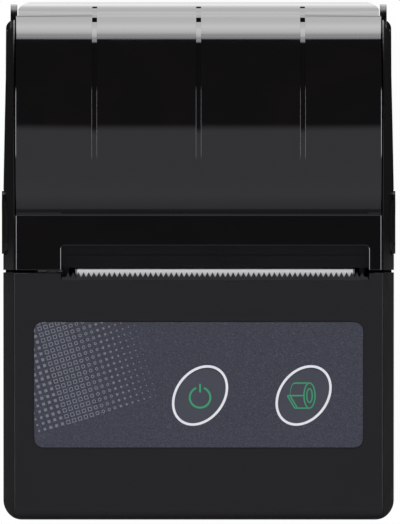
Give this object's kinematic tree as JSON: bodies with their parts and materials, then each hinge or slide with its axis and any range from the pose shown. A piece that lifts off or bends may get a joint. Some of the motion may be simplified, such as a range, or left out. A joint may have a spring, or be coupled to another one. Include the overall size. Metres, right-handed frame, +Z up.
{
  "type": "portable receipt printer",
  "caption": "Pocket thermal receipt printer with a domed hinged paper lid, serrated tear edge, sloping label panel with oval keys and a paper roll inside.",
  "frame": {"origin": "middle of the flat underside, at table height", "axes": "+X to the right seen from the key end, +Y from the key end to the hinge, +Z up"},
  "size_m": [0.0816, 0.1072, 0.046],
  "materials": {
    "casing": "fine textured black ABS",
    "inner_plastic": "smooth black ABS",
    "lid_gloss": "polished black ABS",
    "label_film": "textured printed film",
    "tear_steel": "black coated steel",
    "steel": "plated steel",
    "circuit_board": "green solder mask",
    "shield_can": "tinned can",
    "chip": "moulded resin",
    "flat_cable": "amber film over copper tracks",
    "lamp": "clear resin",
    "battery_wrap": "shrink film",
    "aluminium": "milled",
    "ceramic": "glazed strip",
    "gear_plastic": "natural acetal",
    "platen_rubber": "ground rubber",
    "paper": "thermal paper",
    "card": "wound card"
  },
  "bodies": {
    "base": {"bottom_case": "casing", "middle_case": "casing", "front_cover": "casing", "tear_bar": "tear_steel", "label_overlay": "label_film", "key_board": "circuit_board", "power_switch": "inner_plastic", "feed_switch": "inner_plastic", "status_leds": "lamp", "light_pipes": "lamp", "hinge_pin": "steel", "battery_pack": "battery_wrap", "main_board": "circuit_board", "board_posts": "inner_plastic", "wireless_module": "shield_can", "board_chips": "chip", "usb_socket": "steel", "mech_frame": "inner_plastic", "thermal_head": "ceramic", "heat_sink": "aluminium", "head_springs": "steel", "motor": "steel", "idler_axle": "steel", "paper_bucket": "inner_plastic", "paper_strip": "paper", "case_screws": "steel", "head_cable": "flat_cable", "cable_socket": "inner_plastic", "battery_contacts": "steel"},
    "lid": {"lid_shell": "lid_gloss", "lid_liner": "inner_plastic", "platen_bearings": "gear_plastic"},
    "platen": {"platen_shaft": "steel", "platen_rubber": "platen_rubber", "platen_gear": "gear_plastic"},
    "idler": {"idler_gear": "gear_plastic"},
    "motor_shaft": {"motor_pinion": "gear_plastic"},
    "roll": {"paper_roll": "paper", "roll_core": "card"},
    "power_button": {"power_key": "label_film"},
    "feed_button": {"feed_key": "label_film"},
    "release_left": {"release_button_left": "casing", "release_spring_left": "steel"},
    "release_right": {"release_button_right": "casing", "release_spring_right": "steel"},
    "door": {"battery_door": "casing"}
  },
  "joints": [
    {"name": "lid_hinge", "type": "hinge", "parent": "base", "child": "lid", "pos_m": [0, 0.04855, 0.0283], "axis": [-1, 0, 0], "range_deg": [0, 95]},
    {"name": "platen_spin", "type": "hinge", "parent": "lid", "child": "platen", "pos_m": [0, 0.003, 0.0289], "axis": [1, 0, 0], "continuous": true},
    {"name": "idler_spin", "type": "hinge", "parent": "base", "child": "idler", "pos_m": [0, -0.00266, 0.02324], "axis": [1, 0, 0], "continuous": true},
    {"name": "motor_spin", "type": "hinge", "parent": "base", "child": "motor_shaft", "pos_m": [0, -0.01316, 0.02324], "axis": [1, 0, 0], "continuous": true},
    {"name": "roll_spin", "type": "hinge", "parent": "base", "child": "roll", "pos_m": [0, 0.026, 0.0176], "axis": [1, 0, 0], "continuous": true},
    {"name": "power_press", "type": "slide", "parent": "base", "child": "power_button", "axis": [0, 0.1392, -0.9903], "range_m": [0, 0.0004], "stiffness_N_per_m": 1000},
    {"name": "feed_press", "type": "slide", "parent": "base", "child": "feed_button", "axis": [0, 0.1392, -0.9903], "range_m": [0, 0.0004], "stiffness_N_per_m": 1000},
    {"name": "release_left_press", "type": "slide", "parent": "base", "child": "release_left", "axis": [1, 0, 0], "range_m": [0, 0.0012], "stiffness_N_per_m": 800},
    {"name": "release_right_press", "type": "slide", "parent": "base", "child": "release_right", "axis": [-1, 0, 0], "range_m": [0, 0.0012], "stiffness_N_per_m": 800},
    {"name": "door_slide", "type": "slide", "parent": "base", "child": "door", "axis": [0, -1, 0], "range_m": [0, 0.042]}
  ],
  "couplings": [
    {"joint": "idler_spin", "follows": "platen_spin", "ratio": -1.2857},
    {"joint": "motor_spin", "follows": "platen_spin", "ratio": 3.2143},
    {"joint": "roll_spin", "follows": "platen_spin", "ratio": 0.31786}
  ]
}
